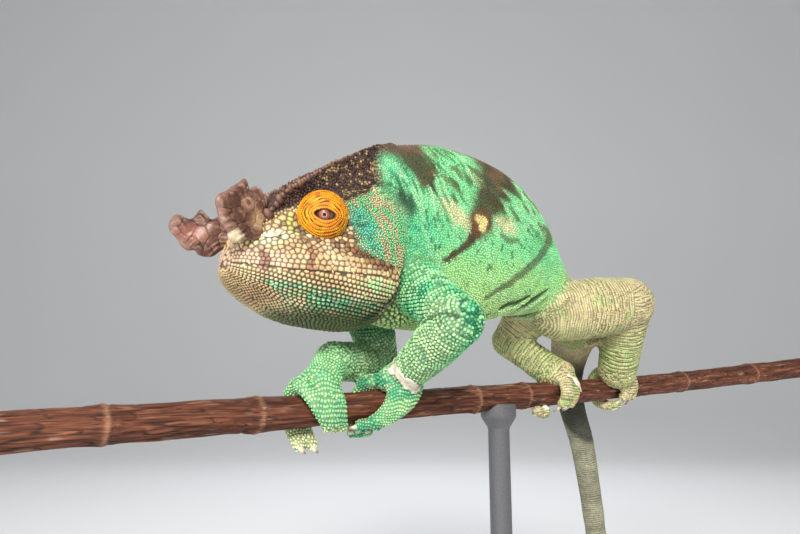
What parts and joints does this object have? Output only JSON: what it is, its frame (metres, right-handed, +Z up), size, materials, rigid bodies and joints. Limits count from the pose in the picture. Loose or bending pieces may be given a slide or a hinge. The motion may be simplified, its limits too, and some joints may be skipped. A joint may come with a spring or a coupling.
{
  "type": "parsons chameleon model",
  "caption": "Life-size Parson's chameleon model gripping a cut length of branch, with a casque, turreted eyes and blunt horns, on a plain display stand.",
  "frame": {"origin": "centre of the stand's underside and of the whole model's footprint, at the floor", "axes": "+X along the branch from the head towards the hind legs, +Y from the animal's left side to its right, +Z up"},
  "size_m": [0.4424, 0.18, 0.2628],
  "materials": {
    "skin_green": "satin, scaly",
    "skin_head": "satin, scaly",
    "turret_orange": "satin, granular",
    "eye_dark": "wet gloss",
    "horn_brown": "low gloss, warty",
    "bark": "rough bark",
    "stand_metal": "satin black",
    "stand_base": "dark satin"
  },
  "bodies": {
    "root": {"branch": "bark", "stand_base": "stand_base", "stand_rod": "stand_metal", "neck": "skin_green", "torso": "skin_green", "tail_base": "skin_green", "tail_middle": "skin_green", "tail_hook": "skin_green", "tail_curl": "skin_green", "tail_tip": "skin_green", "head": "skin_head", "eye_turret_left": "turret_orange", "eye_turret_right": "turret_orange", "eye_left": "eye_dark", "eye_right": "eye_dark", "horn_left": "horn_brown", "horn_right": "horn_brown", "arm_left_upper": "skin_green", "arm_left_lower": "skin_green", "arm_right_upper": "skin_green", "arm_right_lower": "skin_green", "leg_left_upper": "skin_green", "leg_left_lower": "skin_green", "leg_right_upper": "skin_green", "leg_right_lower": "skin_green", "hand_left": "skin_green", "hand_right": "skin_green", "foot_left": "skin_green", "foot_right": "skin_green"}
  },
  "joints": []
}
